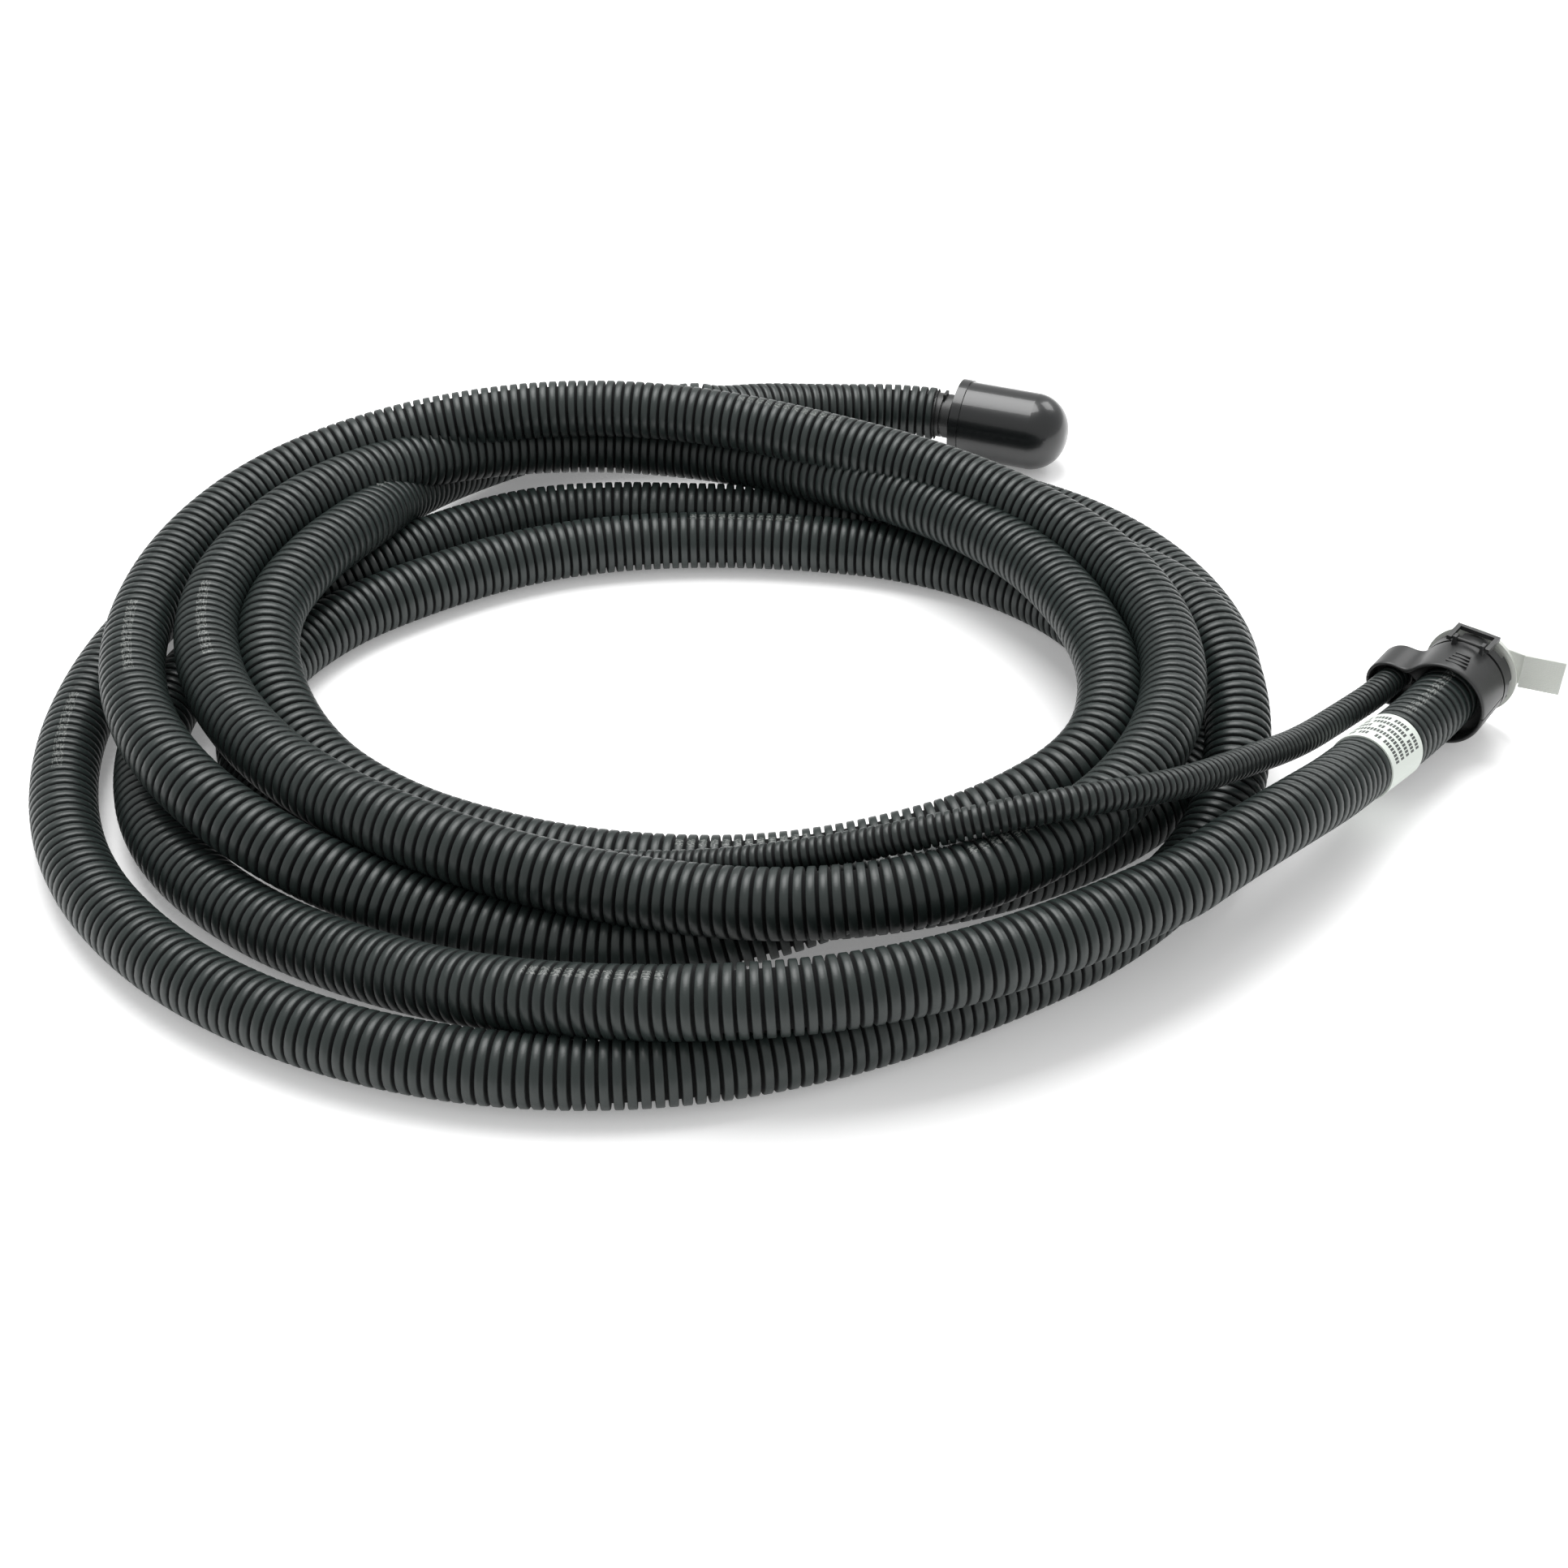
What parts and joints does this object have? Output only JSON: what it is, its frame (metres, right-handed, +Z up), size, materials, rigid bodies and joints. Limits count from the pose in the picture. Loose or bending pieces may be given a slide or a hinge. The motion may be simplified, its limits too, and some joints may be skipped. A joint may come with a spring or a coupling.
{
  "type": "vacuum hose",
  "caption": "Long coiled corrugated plastic hose with a slim branch hose, a twin-barrel connector under a transit cap, a label sleeve and a domed end cap.",
  "frame": {"origin": "centre of the bounding box on the floor under the coil", "axes": "+Z up, +X towards the twin connector's side, +Y away from the front run"},
  "size_m": [0.6742, 0.5313, 0.0808],
  "materials": {
    "hose_plastic": "matte corrugated",
    "label_film": "satin film",
    "connector_plastic": "satin moulded",
    "seal_rubber": "soft matte",
    "cap_plastic": "translucent off-white",
    "end_cap_plastic": "gloss"
  },
  "bodies": {
    "hose_set": {"hose_coil": "hose_plastic", "hose_front_tail": "hose_plastic", "hose_rear_tail": "hose_plastic", "branch_hose": "hose_plastic", "label_sleeve": "label_film", "connector_lower_shell": "connector_plastic", "connector_upper_shell": "connector_plastic", "main_spigot": "connector_plastic", "branch_spigot": "connector_plastic", "main_retaining_ring": "connector_plastic", "branch_retaining_ring": "connector_plastic", "main_o_ring": "seal_rubber", "branch_o_ring": "seal_rubber", "face_seal": "seal_rubber", "latch_pin": "connector_plastic", "end_ferrule": "connector_plastic", "end_locking_tab": "connector_plastic", "end_cap_seal": "seal_rubber", "branch_end_plug": "connector_plastic"},
    "collar": {"coupling_collar": "connector_plastic"},
    "latch": {"latch_loop": "connector_plastic"},
    "cap": {"transit_cap": "cap_plastic"},
    "tab": {"cap_pull_tab": "cap_plastic"},
    "end": {"end_cap": "end_cap_plastic"}
  },
  "joints": [
    {"name": "collar_turn", "type": "hinge", "parent": "hose_set", "child": "collar", "pos_m": [0.30045, -0.01148, 0.024], "axis": [0.6157, 0.788, 0], "range_deg": [-30, 30]},
    {"name": "latch_swing", "type": "hinge", "parent": "hose_set", "child": "latch", "pos_m": [0.29645, -0.0166, 0.0458], "axis": [0.788, -0.6157, 0], "range_deg": [0, 90]},
    {"name": "cap_pull", "type": "slide", "parent": "hose_set", "child": "cap", "axis": [0.6157, 0.788, 0], "range_m": [0, 0.05]},
    {"name": "tab_fold", "type": "hinge", "parent": "cap", "child": "tab", "pos_m": [0.32209, -0.0195, 0.024], "axis": [0, 0, 1], "range_deg": [0, 90]},
    {"name": "end_cap_pull", "type": "slide", "parent": "hose_set", "child": "end", "axis": [0.9336, -0.3584, 0], "range_m": [0, 0.06]}
  ]
}
